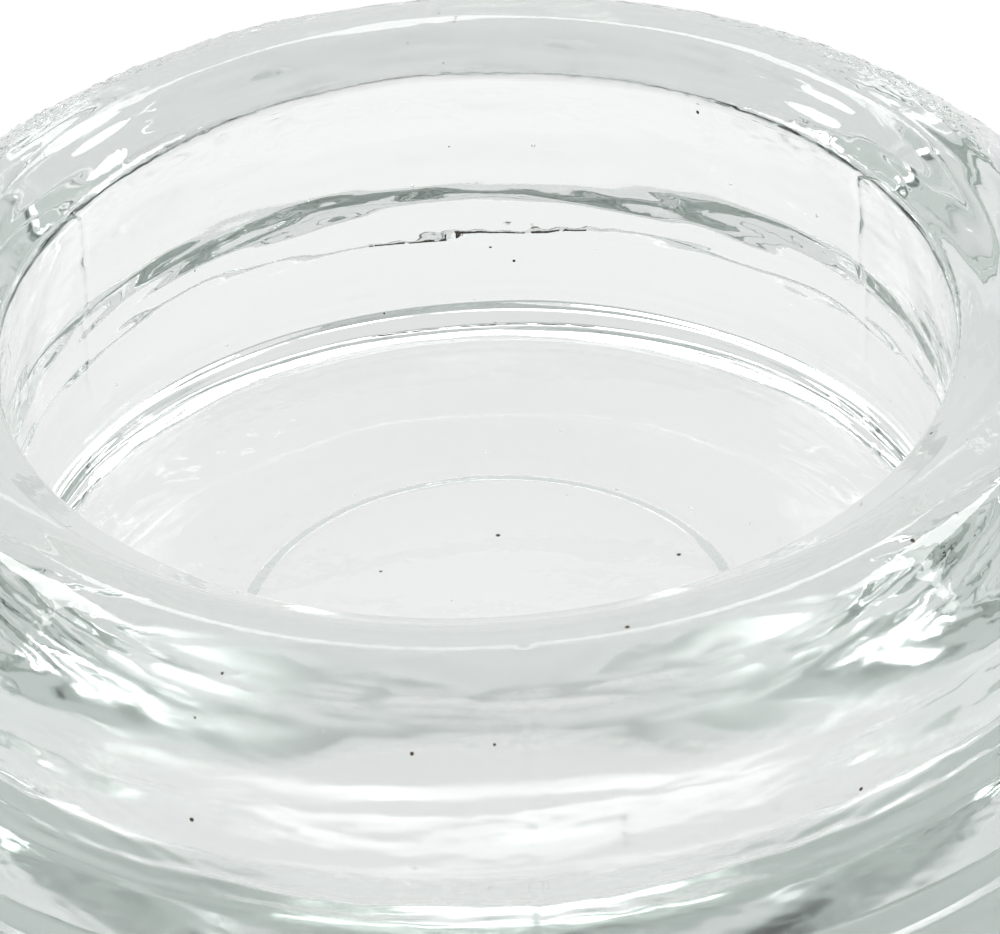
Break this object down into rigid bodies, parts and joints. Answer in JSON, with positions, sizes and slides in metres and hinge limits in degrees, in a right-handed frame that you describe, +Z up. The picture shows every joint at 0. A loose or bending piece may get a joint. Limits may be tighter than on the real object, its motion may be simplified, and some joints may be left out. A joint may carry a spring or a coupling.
{
  "type": "glass cup insulator",
  "caption": "Round pressed-glass cup with a deep recess, a thick rounded rim and a wide flange, to stand under an instrument's leg or castor.",
  "frame": {"origin": "centre of the foot, on the floor it stands on", "axes": "+Z up along the cup's axis, out of its mouth; the cup is round, so X and Y are free"},
  "size_m": [0.098, 0.098, 0.0298],
  "materials": {
    "clear_glass": "clear pressed soda-lime glass with a faint grey-green cast, fire-polished, slightly wavy, with a few seeds"
  },
  "bodies": {
    "root": {"glass_cup": "clear_glass"}
  },
  "joints": []
}
